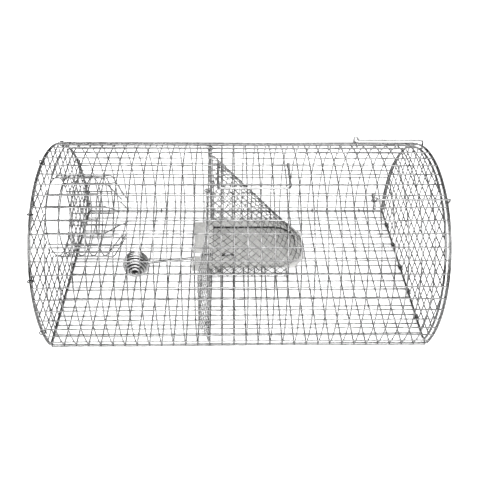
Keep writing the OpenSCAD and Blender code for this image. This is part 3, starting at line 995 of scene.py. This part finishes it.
def treadle_plate(work):
    """Plate with two slots for the rod; its far edge is 1 mm in, clear of the strip of painted
    shade.
    """
    edge = OPENING_X + TREADLE_GAP
    half = TREADLE_HALF - TREADLE_GAP
    outline = [(edge, -half)] + treadle_tip(-TREADLE_GAP) + [(edge, half)]
    loops = [[(x, min(y, y * (1 - 1 / half))) for x, y in outline]]
    low, high = ROD_Y - ROD_R - SLOT_PLAY, ROD_Y + ROD_R + SLOT_PLAY
    for x in (WEAVE_X + SLOT_TRIM, WEAVE_X - WEAVE_TOP - WEAVE_LEN + SLOT_TRIM):
        far = x + WEAVE_LEN - 2 * SLOT_TRIM
        loops.append([(x, low), (far, low), (far, high), (x, high)])
    work.plate(loops, SHEET_T, [0, 0, PLATE_LOW + SHEET_T / 2], X_AXIS, Y_AXIS, SHEET_BEVEL)
    ear_y = TREADLE_HALF + TREADLE_EAR_SHIFT
    for side in (-1, 1):
        ear(work, side * ear_y, TREADLE_EAR_FIT, PLATE_LOW + SHEET_T / 2)


def treadle_axle(work):
    low, high = box_mm("treadle_axle")
    path = np.linspace([AXLE_X, low[1], AXLE_Z], [AXLE_X, high[1], AXLE_Z], 12)
    work.tube(path, ROD_R, X_AXIS, sides=16)


def counterweight_rod(work):
    """Rod from its tail under the plate, up and down through both slots, then out to the weight."""
    start = np.array([WEAVE_X + WEAVE_LEN + ROD_TAIL, ROD_Y, PLATE_LOW - ROD_R - PLAY])
    flat_run = WEAVE_X - WEAVE_TOP - WEAVE_LEN - ROD_FLAT_END
    far = (ROD_FLAT_END - WEIGHT[0]) / math.cos(math.radians(ROD_SLOPE)) - 3
    flat = bent_path([
        (ROD_TAIL, 45, WEAVE_BEND), (WEAVE_RUN, -45, WEAVE_BEND), (WEAVE_TOP, -45, WEAVE_BEND),
        (WEAVE_RUN, 45, WEAVE_BEND), (flat_run, -ROD_SLOPE, ROD_BEND), (far, 0, 0),
    ])
    work.tube(start - flat[:, :1] * X_AXIS + flat[:, 1:] * Z_AXIS, ROD_R, Y_AXIS, sides=12)


def winding(work, radius, turns, wire_r):
    """Ball-shaped winding about Y; its turns part where the rod goes in."""
    phase = np.linspace(0, 1, turns * COIL_STEPS + 1)
    tilt = (2 * phase - 1) * COIL_REACH
    entry = math.radians(-ROD_SLOPE)
    angle = entry + phase * turns * 2 * math.pi
    apart = (angle - entry + math.pi) % (2 * math.pi) - math.pi
    parted = COIL_PART * np.exp(-((apart / COIL_PART_ANGLE) ** 2)) * np.cos(tilt)
    s = radius * np.sin(tilt) + np.sign(tilt) * parted
    ring = radius * np.cos(tilt)
    path = WEIGHT + np.stack([ring * np.cos(angle), s, -ring * np.sin(angle)], -1)
    work.tube(path, wire_r, Y_AXIS, sides=10)


def counterweight_coil(work):
    winding(work, COIL_R, COIL_TURNS, COIL_WIRE_R)


def counterweight_core(work):
    """Inner layer of turns in near-black painted shade, standing for the shade seen between the
    outer turns.
    """
    # Near-black painted shade for the inner layer
    work.slot = 1
    winding(work, CORE_R - COIL_WIRE_R, COIL_TURNS, COIL_WIRE_R)


# ---------------------------------------------------------------- handle and latches


def handle_bail(work):
    """Bail that lies on the dome, its ends looped round a line wire."""
    out = radial(HANDLE_LINE)
    side = np.cross(out, X_AXIS)
    bar_r = HANDLE_SEAT + HANDLE_RISE
    bar_side = -bar_r * math.sin(HANDLE_SWEEP)
    bar_out = bar_r * math.cos(HANDLE_SWEEP)
    bend = HANDLE_BEND
    origin = np.array([PITCH, 0, DOME_Z])
    slope = unit(np.array([bar_side, bar_out - HANDLE_SEAT]))
    leg = math.hypot(bar_side, bar_out - HANDLE_SEAT)

    def half(sign):
        """Loop round the line wire, leg and corner at one end, up to the bar's middle."""
        eye = origin + X_AXIS * sign * HANDLE_HALF + out * LINE_R
        loop = ring_path(eye, HANDLE_SEAT - LINE_R, side, out, 90 - HANDLE_LOOP, 90, 0, 15)
        direction = slope[0] * side + slope[1] * out
        top = loop[-1]
        straight = [top + direction * d for d in np.linspace(3, leg - bend, 4)]
        centre = top + direction * (leg - bend) - X_AXIS * sign * bend
        corner = ring_path(centre, bend, X_AXIS * sign, direction, 0, 90, 0, 15)[1:]
        return np.vstack([loop, straight, corner])

    left, right = half(-1), half(1)
    bar = np.linspace(left[-1], right[-1], 12)[1:-1]
    work.tube(np.vstack([left, bar, right[::-1]]), HANDLE_R, sides=12)


def latch_pivots(work):
    """Short wires looped round two neighbouring line wires each."""
    span = LINE_R * math.sin(DOME_STEP / 2)
    seat = LINE_R * math.cos(DOME_STEP / 2)
    for cell in (-LATCH_CELL, LATCH_CELL):
        out = radial(cell * DOME_STEP)
        side = np.cross(out, X_AXIS)
        origin = np.array([LATCH_X, 0, DOME_Z]) + out * seat
        drop = LATCH_SEAT - seat
        left = ring_path(origin - side * span, drop, side, out, 90 + PIVOT_LOOP, 90, 0, 15)
        right = ring_path(origin + side * span, drop, side, out, 90, 90 - PIVOT_LOOP, 0, 15)
        bar = np.linspace(left[-1], right[0], 6)[1:-1]
        work.tube(np.vstack([left, bar, right]), LATCH_R, X_AXIS, sides=10)


def latch_hook(work, side_sign):
    """Long eye round the pivot, a rod over the rim, and a leg down in front of the door."""
    out = radial(side_sign * LATCH_CELL * DOME_STEP)
    pivot = np.array([LATCH_X, 0, DOME_Z]) + out * LATCH_SEAT
    rise = 2 * LATCH_R + PLAY
    nook = LATCH_NOOK
    tall = rise + nook
    top = pivot + out * tall
    under = ring_path(pivot, rise, X_AXIS, out, 6, -180, 0, 15)
    over = ring_path(top, rise, X_AXIS, out, 180, 0, 0, 15)
    turn = ring_path(top + X_AXIS * tall, nook, X_AXIS, out, 180, 270, 0, 18)[1:]
    eye = np.vstack([under, over, turn])
    bend = LATCH_BEND
    leg_x = box_mm("front_latch_hook")[1][0] - LATCH_R
    leg = LATCH_SEAT + rise - bend - LATCH_LEG_END
    flat = bent_path([(leg_x - LATCH_X - bend, -90, bend), (leg, 0, 0)])[1:]
    rod = pivot + out * rise + flat[:, :1] * X_AXIS + flat[:, 1:] * out
    work.tube(np.vstack([eye, rod]), LATCH_R, np.cross(X_AXIS, out), sides=10)


def front_latch_hook(work):
    latch_hook(work, -1)


def back_latch_hook(work):
    latch_hook(work, 1)


for build in (
    dome_line_wires, dome_hoops, base_line_wires, base_cross_wires, base_clips, entrance_rim,
    entrance_mesh, entrance_clips, funnel_rings, funnel_wires, funnel_fingers, partition_mesh,
    partition_ties, hood_mesh, platform_frame, treadle_axle, treadle_plate, counterweight_rod,
    counterweight_core, counterweight_coil, door_end_rim, door_frame, door_mesh,
    door_hinge_links, latch_pivots, front_latch_hook, back_latch_hook, handle_bail,
):
    gathered = Wirework()
    build(gathered)
    make_piece(build.__name__, gathered)


# ---------------------------------------------------------------- floor, light and camera


def floor():
    """Plain pale floor under the cage."""
    material, _, _, shader = shader_nodes("floor_paper")
    shader.inputs["Base Color"].default_value = FLOOR_GREY
    shader.inputs["Roughness"].default_value = 0.9
    shader.inputs["Specular IOR Level"].default_value = 0.1
    shader.inputs["Emission Color"].default_value = (1, 1, 1, 1)
    shader.inputs["Emission Strength"].default_value = FLOOR_GLOW
    mesh = bpy.data.meshes.new("floor")
    half = FLOOR_HALF_M
    corners = [(-half, -half, 0), (half, -half, 0), (half, half, 0), (-half, half, 0)]
    mesh.from_pydata(corners, [], [(0, 1, 2, 3)])
    mesh.materials.append(material)
    plane = bpy.data.objects.new("floor", mesh)
    plane.location.z = -FLOOR_DROP_M
    bpy.context.scene.collection.objects.link(plane)


def area_light(name, place, target, width, length, power):
    """Rectangular lamp at a place, aimed at a target: metres and watts."""
    data = bpy.data.lights.new(name, "AREA")
    data.shape = "RECTANGLE"
    data.size = width
    data.size_y = length
    data.energy = power
    lamp = bpy.data.objects.new(name, data)
    lamp.location = place
    lamp.rotation_euler = (Vector(target) - Vector(place)).to_track_quat("-Z", "Y").to_euler()
    bpy.context.scene.collection.objects.link(lamp)


def studio():
    """Soft lamps above, in front and behind, in an even, dimmer surrounding."""
    world = bpy.data.worlds.new("studio")
    world.use_nodes = True
    background = world.node_tree.nodes["Background"]
    background.inputs["Color"].default_value = (1, 1, 1, 1)
    background.inputs["Strength"].default_value = WORLD_LIGHT
    bpy.context.scene.world = world
    for name, row in LAMPS.items():
        area_light(name, *row)
    bpy.context.scene.view_settings.view_transform = "Standard"


def camera():
    """Camera in front of the cage and above it, at the original view."""
    data = bpy.data.cameras.new("camera")
    data.lens = CAMERA_LENS_MM
    data.sensor_width = CAMERA_SENSOR_MM
    data.clip_start = 0.01
    yaw, pitch, roll = CAMERA_YAW, CAMERA_PITCH, CAMERA_ROLL
    level_part = math.cos(pitch)
    ahead = Vector((math.sin(yaw) * level_part, math.cos(yaw) * level_part, -math.sin(pitch)))
    level = Vector((math.cos(yaw), -math.sin(yaw), 0))
    upright = level.cross(ahead)
    right = math.cos(roll) * level + math.sin(roll) * upright
    up = math.cos(roll) * upright - math.sin(roll) * level
    turn = Matrix((right, up, -ahead)).transposed().to_4x4()
    lens = bpy.data.objects.new("camera", data)
    lens.matrix_world = Matrix.Translation(Vector(CAMERA_PLACE)) @ turn
    bpy.context.scene.collection.objects.link(lens)
    bpy.context.scene.camera = lens


floor()
studio()
camera()
